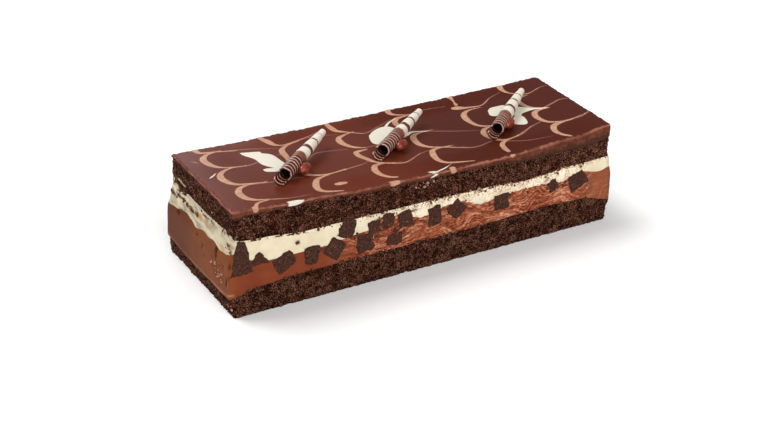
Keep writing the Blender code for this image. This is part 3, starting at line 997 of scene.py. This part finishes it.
def glazePaint():
    paint = Paint("glaze", 0.32, 0.12)
    haze = paint.noise(40, 2.0)
    fine = paint.noise(3.0, 3.0)
    body = paint.blend(haze, (94, 39, 26), (103, 45, 30))
    # painted shade: the glaze grows darker to the right, away from the sheen reflected at its left
    body = paint.mix(paint.between(paint.values("rightward"), 0.0, 1.0), body, tone(77, 30, 18))
    body = paint.mix(paint.between(fine, 0.55, 0.8, 0.0, 0.2), body, tone(112, 56, 38))
    smearTone = paint.blend(paint.noise(4.0, 3.0), (78, 36, 22), (112, 60, 42))
    ragged = paint.between(paint.noise(1.6, 2.0), 0.3, 0.7, -0.3, 0.3)
    fade = paint.between(paint.sum("ADD", paint.values("fade"), ragged), 0.30, 0.75)
    smearTone = paint.mix(fade, smearTone, tone(68, 39, 28))
    body = paint.cover(body, "smear", smearTone)
    # painted highlight: a broken pale line along the rim
    body = paint.cover(body, "edge", tone(178, 116, 96))
    wisp = paint.between(paint.values("wisp"), 0.30, 0.75, 0.0, 0.5)
    body = paint.mix(wisp, body, tone(192, 142, 124))
    caramel = paint.between(paint.values("caramel"), 0.36, 0.62)
    body = paint.mix(caramel, body, paint.blend(fine, (180, 131, 104), (198, 154, 127)))
    white = paint.between(paint.values("white"), 0.38, 0.62)
    paint.colour(paint.mix(white, body, tone(224, 217, 200)))
    # the smear down the face is duller than the top
    paint.link(paint.between(paint.values("smear"), 0.0, 1.0, 0.32, 0.8), "Roughness")
    paint.bump(paint.noise(2.2, 2.0), 0.04)
    return paint.material


def glazeSheet():
    # a fine sheet with a skirt, closed below
    nothingSelected()
    bpy.ops.mesh.primitive_grid_add(x_subdivisions=glaze["columns"], y_subdivisions=glaze["rows"], size=2)
    piece = named("glaze_marbled")
    editAll("EDGE")
    bpy.ops.mesh.region_to_loop()
    for _ in range(glaze["rings"]):
        bpy.ops.mesh.extrude_edges_move(TRANSFORM_OT_translate={"value": (0, 0, -1)})
    bpy.ops.mesh.edge_face_add()
    objectMode()
    pick(piece, "FACE", np.array([len(face.vertices) > 4 for face in piece.data.polygons]))
    bpy.ops.mesh.inset(thickness=glaze["capInset"], use_individual=True)
    bpy.ops.mesh.poke()
    objectMode()
    return piece


def buildGlaze(material):
    piece = glazeSheet()
    points = readPoints(piece)
    ring = np.round(-points[:, 2]).astype(int)
    skirt, down = ring > 0, ring / glaze["rings"]
    u, v = points[:, 0], points[:, 1]
    halfLong, halfWide = endX(bar["height"]), faceY(bar["height"])
    x, y = u * halfLong, v * halfWide
    # the sheet's square corners become round
    radius = glaze["corner"]
    inX, inY = np.abs(x) - (halfLong - radius), np.abs(y) - (halfWide - radius)
    corner = (inX > 0) & (inY > 0)
    reach = np.maximum(inX, inY) / np.maximum(np.hypot(inX, inY), 1e-9)
    x = np.where(corner, np.sign(x) * (halfLong - radius + inX * reach), x)
    y = np.where(corner, np.sign(y) * (halfWide - radius + inY * reach), y)
    toEdge = np.where(
        corner,
        radius - np.hypot(np.maximum(inX, 0), np.maximum(inY, 0)) * reach,
        np.minimum(halfLong - np.abs(x), halfWide - np.abs(y)),
    )
    inwards = np.where(skirt, 0, toEdge)
    # the top folds over at its edge
    edge = glaze["edge"]
    level = onTop(u, v)
    places = onSheet(x, y, level)
    waveSize, wave = glaze["wave"]
    flat = np.stack([x, y, level], 1)
    rimWander = grain(flat, (7.0, 7.0, 20.0), 2.0) + 0.7 * grain(flat, (2.6, 2.6, 9.0), 5.0)
    level = level + wave * grain(flat, waveSize, 1.0)
    fold = np.clip(edge - toEdge, 0, edge)
    z = level - (edge - np.sqrt(np.maximum(edge**2 - fold**2, 0)))
    # the skirt goes down to the glaze's lower border, and its last rings tuck in
    outX, outY = np.where(corner, inX, 0), np.where(corner, inY, 0)
    length = np.maximum(np.hypot(outX, outY), 1e-9)
    straightX = (~corner) & (halfLong - np.abs(x) < halfWide - np.abs(y))
    nx = np.where(corner, np.sign(x) * outX / length, np.where(straightX, np.sign(x), 0))
    ny = np.where(corner, np.sign(y) * outY / length, np.where(straightX, 0, np.sign(y)))
    rimTop = level - edge
    rimLow = onRim(glazeFloor, u, v) - 0.5 + 0.8 * grain(flat, (5.0, 5.0, 9.0), 4.0) + 0.5 * rimWander
    for place, height, halfX, halfZ, *_ in glaze["drips"]:
        near = np.clip(1 - ((x + bar["halfLong"] - place) / (halfX * 1.15)) ** 2, 0, 1) * (y < 0)
        rimLow = np.where(near > 0, np.minimum(rimLow, height - halfZ * np.sqrt(near) - 0.2), rimLow)
    rimLow = np.minimum(rimLow, rimTop - 0.8)
    z = np.where(skirt, rimTop + (rimLow - rimTop) * down, z)
    out = glaze["lip"] * (1 - 0.5 * down) - glaze["tuck"] * smooth(0.8, 1.0, down)
    out = np.where(skirt, out + 0.35 * grain(np.stack([x, y, z], 1), 2.4, 3.0), 0)
    out = out + glaze["wander"] * rimWander * smooth(3.0, 0.0, inwards)
    wider = np.where(skirt, faceY(z) - halfWide, 0) * np.abs(ny)
    longer = np.where(skirt, endX(z) - halfLong, 0) * np.abs(nx)
    out = out + (wider + longer)
    x = x + nx * out
    y = y + ny * out

    # how far inside the marbling each place is; the drips carry it over the front edge
    farOff = glaze["farOff"]
    fields = {
        "caramel": strokeField(places, caramelStrokes),
        "wisp": strokeField(places, wispStrokes),
        "white": np.maximum(spotField(places, creamSpots), strokeField(places, creamStrokes)),
    }
    fields = {name: np.where(skirt, farOff, field) for name, field in fields.items()}
    for place, height, halfX, halfZ, slant, kind in glaze["drips"]:
        alongRim = x + bar["halfLong"] - place
        away = np.hypot(alongRim / halfX, (z - inwards - height - slant * alongRim) / halfZ)
        blob = np.where((y < -halfWide + 4) & (ny < 0.5), (1 - away) * min(halfX, halfZ), farOff)
        fields[kind] = np.maximum(fields[kind], blob)
    jitter = 0.25 * grain(flat, (2.2, 2.2, 9.0), 6.0)
    fields["caramel"] += jitter
    fields["white"] += 0.4 * jitter
    shares = {name: np.clip(0.5 + field / (2 * glaze["soft"]), 0, 1) for name, field in fields.items()}
    raised = np.maximum(smooth(0.3, 0.8, shares["caramel"]), smooth(0.3, 0.8, shares["white"]))
    z = z + glaze["marbleLift"] * raised * ~skirt
    z = z + glaze["rimLumps"] * grain(flat, (2.4, 2.4, 9.0), 8.0) * smooth(2.2, 0.3, toEdge) * ~skirt
    writePoints(piece, np.stack([x, y, z], 1) * mm)

    # the rim gets a broken painted highlight line, and the skirt is smeared
    broken = smooth(-0.5, 0.3, grain(flat, (11.0, 11.0, 20.0), 9.0) + 0.3 * grain(flat, (2.2, 2.2, 9.0), 3.0))
    breadth = 0.55 + 0.5 * grain(flat, (2.6, 2.6, 20.0), 7.0) - 0.2 * smooth(1.6, 0.8, halfLong - np.abs(x))
    fromRim = np.where(skirt, 8 * down, toEdge)
    rimHighlight = smooth(breadth + 0.25, breadth - 0.25, fromRim) * (0.35 + 0.65 * broken)
    keepValues(
        piece,
        **shares,
        edge=np.clip(rimHighlight * 0.7, 0, 1),
        smear=smooth(0.9, 0.2, inwards),
        fade=skirt * np.maximum(smooth(0.1, 0.9, down), 0.8 * np.abs(nx)),
        # painted shade, darker to the right as the sheen fades
        rightward=smooth(-60, 60, x),
    )
    finishPiece(piece, material, "glaze", "glaze")


buildGlaze(glazePaint())
print("glaze laid and marbled")

frontChunks = (
    # x, z, width at the foot, height, turn, top over foot
    (5.4, 41.2, 14.4, 21.6, 0, 0.40),
    (17.8, 38.2, 13.0, 7.6, 0, 0.12),
    (35.3, 31.2, 13.0, 10.6, 26, 1.0),
    (55.0, 30.6, 7.0, 12.2, -4, 1.6),
    (71.6, 31.4, 12.0, 12.0, -38, 1.0),
    (81.2, 44.0, 11.4, 11.8, -20, 0.9),
    (94.2, 30.2, 11.8, 12.4, 9, 0.86),
    (101.0, 39.8, 9.0, 8.0, 8, 1.0),
    (111.4, 42.4, 8.6, 8.6, -6, 0.9),
    (116.2, 27.4, 11.4, 7.2, 0, 0.9),
    (124.6, 40.2, 10.6, 10.8, 12, 0.9),
    (147.4, 37.2, 9.6, 12.6, 5, 0.9),
    (164.8, 37.6, 10.8, 10.8, 41, 1.0),
    (201.2, 34.8, 11.2, 10.6, 3, 1.0),
    (243.6, 37.4, 7.8, 8.2, 24, 1.0),
    (265.2, 35.8, 14.2, 11.2, 27, 0.92),
)
brownie = {
    "depth": 12.5,
    "tail": 0.84,
    "cuts": 15,
    "proud": 0.75,
    "corner": 0.2,
    "cornerFill": 1.12,
    "fuller": 1.07,
    "shift": (1.2, 0.8),
    "noiseAt": 40.0,
    "wander": (3.6, 1.1),
    "grain": (1.3, 0.42),
    "backCount": 13,
    "backSize": (9.0, 12.5),
    "backHeights": (31.5, 40.5),
    "backTurn": 32,
    "backFlat": (0.8, 1.0),
    "backTaper": (0.82, 1.0),
    "backRoom": 1.35,
    "seed": 7,
}


def backChunks(draw):
    # one chunk in each even stretch of the hidden face
    pitch = bar["length"] / brownie["backCount"]
    for i in range(brownie["backCount"]):
        size = draw.uniform(*brownie["backSize"])
        x = (i + 0.5) * pitch + draw.uniform(-1, 1) * (pitch - brownie["backRoom"] * size) / 2
        z = draw.uniform(*brownie["backHeights"])
        height = size * draw.uniform(*brownie["backFlat"])
        turn = draw.uniform(-brownie["backTurn"], brownie["backTurn"])
        yield (x, z, size, height, turn, draw.uniform(*brownie["backTaper"]))


def browniePaint():
    paint = Paint("brownie", 0.9, 0.05)
    tones = ((0.28, tone(44, 25, 18)), (0.5, tone(67, 42, 33)), (0.72, tone(94, 66, 56)))
    body = paint.ramp(paint.noise(0.9, 3.0), *tones)
    specks = paint.between(paint.cells(1.6), 0.24, 0.08, 0.0, 0.6)
    paint.colour(paint.mix(specks, body, tone(34, 16, 10)))
    paint.bump(paint.noise(0.7, 3.0), 0.2)
    return paint.material


def buildChunk(name, node, chunk, side, seed, material):
    x, z, width, height, turn, top = chunk
    draw = random.Random(seed)
    shiftX, shiftZ = (draw.uniform(-most, most) for most in brownie["shift"])
    nothingSelected()
    bpy.ops.mesh.primitive_cube_add(size=2)
    piece = named(name)
    editAll("FACE")
    bpy.ops.mesh.subdivide(number_cuts=brownie["cuts"])
    objectMode()
    cube = readPoints(piece)
    # the cut outline's corners are rounded a little
    sx, sy, sz = cube.T
    far = np.maximum(np.abs(sx), np.abs(sz))
    length = np.maximum(np.hypot(sx, sz), 1e-9)
    softer = brownie["corner"]
    drawnIn = 1 - softer + softer * far / length * brownie["cornerFill"]
    sx, sz = sx * drawnIn, sz * drawnIn
    # it narrows into the cake and leans a little
    deep = (sy + 1) / 2
    full = 1 - (1 - brownie["tail"]) * deep
    across = sx * width / 2 * (1 + (top - 1) * (sz + 1) / 2) * full * brownie["fuller"]
    up = sz * height / 2 * full * brownie["fuller"]
    cos, sin = math.cos(math.radians(turn)), math.sin(math.radians(turn))
    px = x + across * cos - up * sin + shiftX * deep
    pz = z + across * sin + up * cos + shiftZ * deep
    place = np.stack([px, np.full(len(px), side * brownie["noiseAt"]), pz], 1)
    wanderSize, wander = brownie["wander"]
    grainSize, fine = brownie["grain"]
    outline = smooth(0.5, 1.0, far)
    px = px + outline * (wander * grain(place, wanderSize, seed * 1.7) + fine * grain(place, grainSize, 3.0))
    pz = pz + outline * (wander * grain(place, wanderSize, seed * 2.3) + fine * grain(place, grainSize, 7.0))
    # the cut face is grainy and stands a little proud of the layers round it
    face = brownie["proud"] - 0.3 * smooth(0.9, 1.0, far)
    face = face + 0.2 * grain(place, 2.0, 4.0) + 0.15 * grain(place, 0.9, 1.0)
    py = side * (faceY(pz) - brownie["depth"] * deep + face * (1 - smooth(0.0, 0.08, deep)))
    writePoints(piece, np.stack([px - bar["halfLong"], py, pz], 1) * mm)
    if side > 0:
        editAll("FACE")
        bpy.ops.mesh.flip_normals()
        objectMode()
    finishPiece(piece, material, "brownie", node)


brownieMaterial = browniePaint()
chunkRows = {"front": (-1, frontChunks), "back": (1, tuple(backChunks(random.Random(brownie["seed"]))))}
for word, (side, chunks) in chunkRows.items():
    for i, chunk in enumerate(chunks):
        number = f"{word}_{i + 1:02d}"
        seed = brownie["seed"] + 100 * side + i
        buildChunk(f"chunk_{number}", f"brownie_{number}", chunk, side, seed, brownieMaterial)
print("brownie chunks set in")

crumbs = {
    "seed": 11,
    "sizes": (0.35, 1.0),
    "stretch": (0.7, 1.4),
    "lumps": (1.3, 0.35),
    "proud": 0.1,
    # per long face: how many, from where to where along it, and between which heights over a boundary
    "dark": (
        (8, 40, 90, creamTop, -0.6, 0.8),
        (26, 90, 284, creamTop, -2.2, 0.8),
        (60, 60, 262, creamFloor, -5.0, 1.0),
        (16, 20, 290, glazeFloor, -0.5, 1.5),
    ),
    "reddish": (
        (90, 95, 140, creamFloor, -13.0, 0.0),
        (60, 28, 270, creamFloor, -7.0, 0.5),
        (14, 90, 284, creamTop, -1.6, 0.8),
    ),
    "pale": (
        (10, 62, 284, creamFloor, -15.0, -3.0),
        (50, 90, 284, creamTop, 0.2, 2.0),
        (12, 132, 146, creamTop, 12.0, 15.5),
    ),
    # on each end: how many, distance from its back, heights
    "darkEnd": (
        (8, 2, 24, 46.6, 49.0),
        (12, 24, 44, 46.8, 48.8),
        (6, 46, 94, 52.0, 54.0),
        (6, 84, 92, 44.0, 49.0),
        (40, 0, 36, 0.5, 9.0),
        (12, 60, 94, 1.0, 9.0),
    ),
    "reddishEnd": ((34, 68, 86, 20.0, 33.0), (10, 2, 12, 45.6, 48.2)),
    "paleEnd": ((10, 68, 76, 27.0, 33.0), (10, 74, 84, 20.0, 28.0), (5, 86, 94, 3.0, 9.0)),
}


def crumbPaint(name, low, high):
    paint = Paint(name, 0.85, 0.05)
    paint.colour(paint.blend(paint.noise(1.0, 2.0), low, high))
    return paint.material


def crumbPlaces(word, draw):
    proud = crumbs["proud"]
    for side in (-1, 1):
        for count, start, end, boundary, lower, upper in crumbs[word]:
            for _ in range(count):
                x = draw.uniform(start, end)
                level = float(along(boundary[0 if side < 0 else 1], x)) + draw.uniform(lower, upper)
                yield Vector((x - bar["halfLong"], side * (faceY(level) + proud), level))
    for count, start, end, lower, upper in crumbs[word + "End"]:
        for side in (-1, 1):
            for _ in range(count):
                level = draw.uniform(lower, upper)
                y = bar["halfWide"] - draw.uniform(start, end)
                yield Vector((side * (float(endX(level)) + proud), y, level))


def sprinkle(word, material, slot):
    draw = random.Random(f"{word}{crumbs['seed']}")
    nothingSelected()
    bpy.ops.mesh.primitive_ico_sphere_add(subdivisions=2, radius=1)
    piece = named(f"crumbs_{word}")
    points = readPoints(piece)
    faces = np.array([list(face.vertices) for face in piece.data.polygons])
    smallest, largest = crumbs["sizes"]
    closeness, lumps = crumbs["lumps"]
    allPoints, allFaces = [], []
    for i, place in enumerate(crumbPlaces(word, draw)):
        size = draw.uniform(0, 1) ** 2 * (largest - smallest) + smallest
        stretch = np.array([draw.uniform(*crumbs["stretch"]) for _ in range(3)])
        lumpy = 1 + lumps * grain(points * closeness, 1.0, draw.uniform(0, 50))
        shaped = points * lumpy[:, None] * stretch * size + np.array(place)
        shaped[:, 2] = np.maximum(shaped[:, 2], 0)
        allFaces.append(faces + len(points) * i)
        allPoints.append(shaped)
    piece.data.clear_geometry()
    piece.data.from_pydata(np.concatenate(allPoints) * mm, [], np.concatenate(allFaces))
    finishPiece(piece, material, slot)


sprinkle("dark", crumbPaint("crumbDark", (62, 32, 21), (108, 68, 50)), "sponge")
sprinkle("reddish", crumbPaint("crumbReddish", (104, 46, 28), (164, 98, 70)), "mousse")
sprinkle("pale", crumbPaint("crumbPale", (160, 112, 92), (200, 156, 134)), "cream")
print("crumbs sprinkled")

curl = {
    "places": {"left": (-92.2, -15.8, 38.0), "middle": (-16.9, -11.3, 35.0), "right": (70.0, -16.9, 39.4)},
    "length": 56.5,
    "radius": ((0, 4.8), (20, 4.7), (31, 4.2), (43, 3.5), (56.5, 2.5)),
    "wall": 0.8,
    "sides": 72,
    "rings": 96,
    "rise": 2.9,
    "lead": 4.5,
    "scoop": 7.0,
    "gap": 0.3,
    # how the rim runs out, round the curl in degrees: full before the fade, nothing before the cut
    "scoopFade": (-50, 105),
    "scoopCut": (-122, -112),
    "scoopFrom": 0.6,
    "thinner": 0.2,
    "ripple": 0.012,
    "seam": (-150, -100, 0.35),
    # bands from the rim to the tip, in mm: light stripes (first, pitch, half width), then what is dark
    "patterns": {
        "left": {
            "stripes": (-10.4, 3.1, 0.44),
            "milk": (13.6, 19.2),
            "rings": ((28.9, 1.9), (40.4, 0.75), (48.8, 0.2)),
        },
        "middle": {
            "stripes": (-10.2, 2.95, 0.42),
            "milk": (13.4, 20.6),
            "rings": ((29.2, 1.9), (39.9, 0.85), (48.9, 0.5)),
        },
        "right": {
            "stripes": (-10.0, 2.95, 0.42),
            "milk": (10.6, 15.2),
            "rings": ((24.6, 1.6), (35.4, 0.85), (45.1, 0.6)),
        },
    },
}


def glazeUnder(x, y):
    # the glaze's height under a place on the top
    return float(onTop(x / (bar["topLength"] / 2), y / (bar["topWidth"] / 2)))


def curlFrame(x, y, heading):
    # +Z runs along the curl to its tip, from the middle of its rim
    turn = math.radians(heading)
    flat = Vector((math.cos(turn), math.sin(turn), 0))
    rise = math.asin(curl["rise"] / curl["length"])
    axis = flat * math.cos(rise) + Vector((0, 0, math.sin(rise)))
    left = Vector((0, 0, 1)).cross(axis).normalized()
    up = axis.cross(left)
    reach = curl["lead"] + curl["scoop"]
    foot = Vector((x, y, 0)) - reach * flat
    under = max(glazeUnder(x, y), glazeUnder(foot.x, foot.y))
    lift = curl["radius"][0][1] + curl["gap"] + reach * math.sin(rise)
    turned = Matrix((left, up, axis)).transposed().to_4x4()
    return Matrix.Translation(Vector((x, y, under + lift))) @ turned


def curlPaint(word):
    pattern = curl["patterns"][word]
    paint = Paint(f"curl_{word}", 0.38, 0.4)
    place = paint.values("alongCurl")
    fine = paint.noise(1.2, 2.0)
    wobble = paint.sum("ADD", place, paint.between(paint.noise(3.0, 1.0), 0.2, 0.8, -0.35, 0.35))
    white = paint.blend(fine, (222, 208, 192), (238, 230, 214))
    dark = paint.blend(fine, (58, 21, 10), (84, 38, 23))
    first, pitch, half = pattern["stripes"]
    phase = paint.sum("PINGPONG", paint.sum("SUBTRACT", wobble, first), pitch / 2)
    stripe = paint.between(phase, half + 0.25, half - 0.25)
    striped = paint.mix(stripe, dark, tone(206, 162, 143))
    milkStart, milkEnd = pattern["milk"]
    milk = paint.blend(fine, (108, 58, 42), (134, 80, 60))
    body = paint.mix(paint.between(wobble, milkStart - 0.5, milkStart + 0.7), striped, milk)
    body = paint.mix(paint.between(wobble, milkEnd - 0.3, milkEnd + 1.6), body, white)
    for middle, reach in pattern["rings"]:
        away = paint.sum("ABSOLUTE", paint.sum("SUBTRACT", wobble, middle), 0.0)
        body = paint.mix(paint.between(away, reach + 0.35, reach - 0.35), body, tone(92, 48, 36))
    inside = paint.between(paint.values("insideCurl"), 0.5, 0.95)
    hollow = paint.mix(paint.between(phase, 0.55, 0.15), tone(58, 17, 8), tone(224, 168, 148))
    # painted shade: the inside darkens deeper into the curl
    hollow = paint.mix(paint.between(place, -6.0, 0.0), hollow, tone(30, 8, 4))
    paint.colour(paint.mix(inside, body, hollow))
    paint.bump(paint.noise(2.0, 2.0), 0.06)
    return paint.material


def scoopReach(degrees):
    # how far the rim runs out towards the viewer, full at the lower left, cut straight at the lower right
    fade = 1 - smooth(*curl["scoopFade"], degrees)
    cut = smooth(*curl["scoopCut"], degrees)
    return curl["lead"] + curl["scoop"] * fade**0.8 * cut


def buildCurl(word, material):
    x, y, heading = curl["places"][word]
    nothingSelected()
    length = curl["length"]
    bpy.ops.mesh.primitive_cylinder_add(
        vertices=curl["sides"],
        radius=1,
        depth=length,
        end_fill_type="NOTHING",
        location=(0, 0, length / 2),
    )
    piece = named(f"shaving_{word}")
    bpy.ops.object.transform_apply(location=True)
    splitUpright(piece, curl["rings"], length / 2)
    points = readPoints(piece)
    place = points[:, 2]
    turn = np.arctan2(points[:, 1], points[:, 0])
    degrees = np.degrees(turn)
    # the rim's reach is shared out over the first rings, so that they stay even
    share = 1 - place / length
    begin = curl["scoopFrom"]
    place = place - scoopReach(degrees) * np.clip((share - begin) / (1 - begin), 0, 1)
    # the sheet overlaps itself in a seam under the curl
    seamStart, seamEnd, seamDepth = curl["seam"]
    radius = along(curl["radius"], place) * (1 + curl["ripple"] * np.sin(place * 0.9 + turn))
    radius = radius + seamDepth * smooth(seamStart, seamEnd, degrees) * (turn < 0) - curl["thinner"]
    laid = np.stack([radius * np.cos(turn), radius * np.sin(turn), place], 1)
    matrix = np.array(curlFrame(x, y, heading))
    writePoints(piece, (laid @ matrix[:3, :3].T + matrix[:3, 3]) * mm)
    keepValues(piece, alongCurl=place)
    editAll("FACE")
    bpy.ops.mesh.normals_make_consistent(inside=False)
    objectMode()
    outer = len(piece.data.vertices)
    thick = piece.modifiers.new("wall", "SOLIDIFY")
    thick.thickness = curl["wall"] * mm
    thick.offset = -1
    bpy.context.view_layer.objects.active = piece
    bpy.ops.object.modifier_apply(modifier=thick.name)
    keepValues(piece, insideCurl=np.arange(len(piece.data.vertices)) >= outer)
    finishPiece(piece, material, "curl", f"curl_{word}")


bean = {
    # how far along the curl and how far beside it, from its rim; then how far it tucks in behind it
    "places": {"left": (12.6, 9.0), "middle": (12.6, 9.0), "right": (11.4, 8.9)},
    "tuck": {"left": 2.6, "middle": 3.0, "right": 4.8},
    "tuckWay": (-0.86, 0.51, 0),
    "half": (6.1, 3.8, 3.6),
    "egg": 0.12,
    "lumps": (3.0, 0.12),
}


def beanPaint():
    paint = Paint("bean", 0.25, 0.42)
    paint.colour(paint.blend(paint.noise(3.0, 2.0), (96, 28, 9), (150, 57, 29)))
    paint.shader.inputs["Coat Weight"].default_value = 0.25
    paint.shader.inputs["Coat Roughness"].default_value = 0.3
    return paint.material


def buildBean(word, material):
    x, y, heading = curl["places"][word]
    distance, beside = bean["places"][word]
    at = curlFrame(x, y, heading)
    turn = math.radians(heading)
    flat = Vector((math.cos(turn), math.sin(turn), 0))
    middle = at.translation + flat * distance - at.col[0].to_3d() * beside
    middle += Vector(bean["tuckWay"]) * bean["tuck"][word]
    middle.z = glazeUnder(middle.x, middle.y) + curl["gap"] + bean["half"][2]
    nothingSelected()
    bpy.ops.mesh.primitive_uv_sphere_add(segments=48, ring_count=32, radius=1)
    piece = named(f"chocolate_bean_{word}")
    points = readPoints(piece)
    shaped = points * np.array(bean["half"])
    shaped[:, 1] *= 1 + bean["egg"] * points[:, 0]
    lumpSize, lump = bean["lumps"]
    shaped += lump * grain(shaped, lumpSize, turn)[:, None] * points
    spun = np.array(Matrix.Rotation(turn, 3, "Z"))
    writePoints(piece, (shaped @ spun.T + np.array(middle)) * mm)
    finishPiece(piece, material, "bean", f"bean_{word}")


beanMaterial = beanPaint()
for word in curl["places"]:
    buildCurl(word, curlPaint(word))
    buildBean(word, beanMaterial)
print("curls and beans placed")

print("done")
